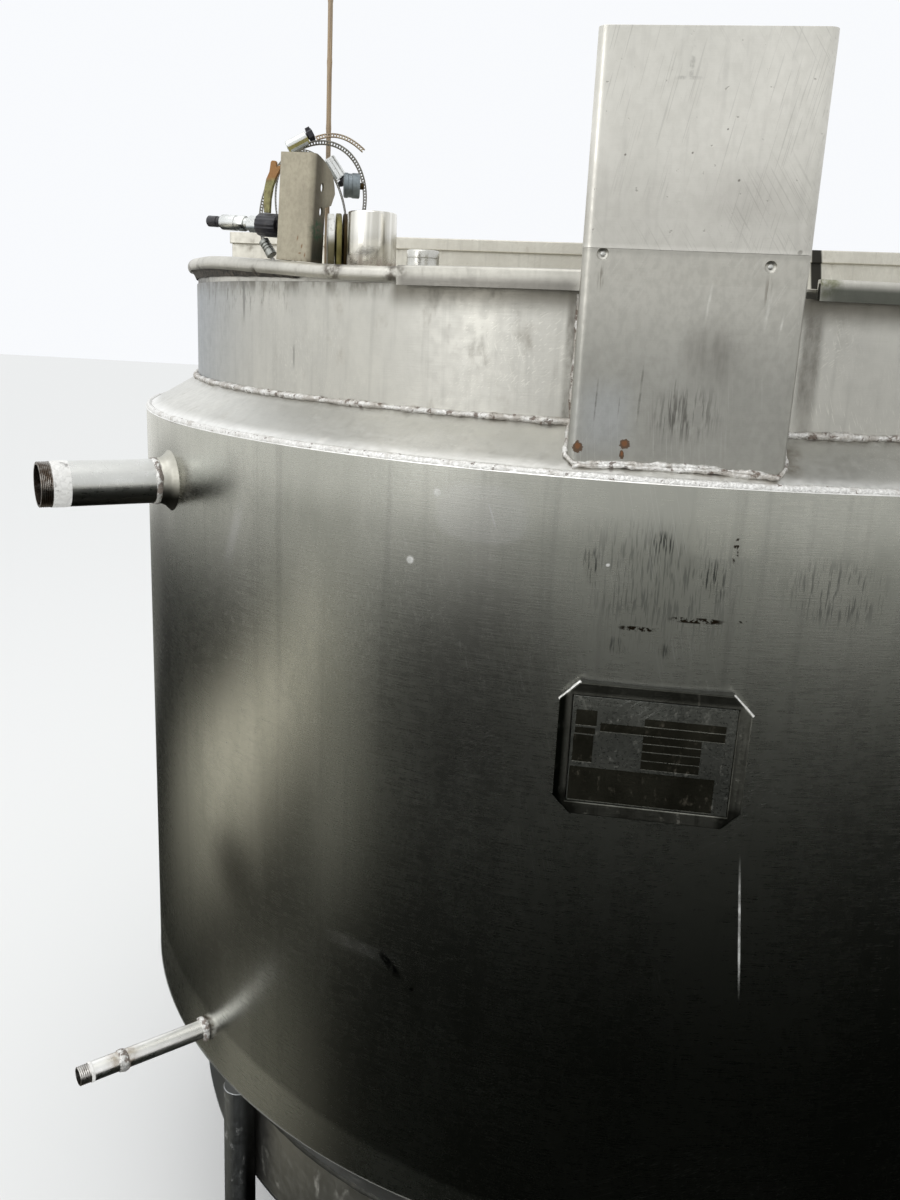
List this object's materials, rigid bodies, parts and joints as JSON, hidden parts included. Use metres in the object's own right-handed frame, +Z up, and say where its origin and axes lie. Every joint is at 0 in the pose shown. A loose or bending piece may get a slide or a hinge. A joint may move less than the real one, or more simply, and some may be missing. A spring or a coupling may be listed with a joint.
{
  "type": "jacketed vertical storage tank",
  "caption": "Round upright steel tank with a heating jacket, bare neck, rolled rim, pipe legs, a folded column at the front and a bridge across its open top.",
  "frame": {"origin": "on the tank's axis at floor level", "axes": "+Z up, -Y out of the front, where the column and the data plate are, +X to the right seen from the front"},
  "size_m": [1.696, 1.705, 1.9833],
  "materials": {
    "jacket_steel": "brushed, weathered",
    "neck_steel": "pickled, weathered",
    "rim_steel": "rolled, dirty",
    "column_steel": "mill finish, scratched",
    "plate_steel": "dark, etched",
    "leg_steel": "pipe, dull",
    "pipe_steel": "pipe, dull",
    "cover_steel": "sheet, weathered",
    "bracket_steel": "sheet, warm grey",
    "rod_wood": "weathered",
    "plated_steel": "bright plated",
    "black_plastic": "moulded",
    "olive_plated": "yellow passivated"
  },
  "bodies": {
    "root": {"jacket_wall_front": "jacket_steel", "jacket_wall_rear": "jacket_steel", "vessel_wall_front": "neck_steel", "vessel_wall_rear": "neck_steel", "top_closure": "neck_steel", "bottom_closure": "jacket_steel", "bottom_head": "jacket_steel", "bottom_outlet": "pipe_steel", "upper_nozzle_left": "pipe_steel", "lower_nozzle_left": "pipe_steel", "upper_nozzle_right": "pipe_steel", "lower_nozzle_right": "pipe_steel", "leg_front_left": "leg_steel", "leg_front_right": "leg_steel", "leg_rear_right": "leg_steel", "leg_rear_left": "leg_steel", "rim_bead": "rim_steel", "front_lip_left": "rim_steel", "front_lip_right": "rim_steel", "column_lower": "column_steel", "column_upper": "column_steel", "data_plate_frame": "plate_steel", "data_plate": "plate_steel", "front_cover": "cover_steel", "bridge_box": "cover_steel", "bridge_cap": "cover_steel", "cover_stub": "cover_steel", "drum": "plated_steel", "rim_bracket": "bracket_steel", "bracket_rod": "rod_wood", "disc_stack": "olive_plated", "probe_knob": "black_plastic", "probe_fitting": "plated_steel", "probe_elbow": "plated_steel", "bent_tab": "olive_plated", "clamp_band_large": "plated_steel", "clamp_band_small": "plated_steel", "clamp_screw_large": "plated_steel", "clamp_screw_small": "plated_steel", "clamp_plug": "plated_steel"}
  },
  "joints": []
}
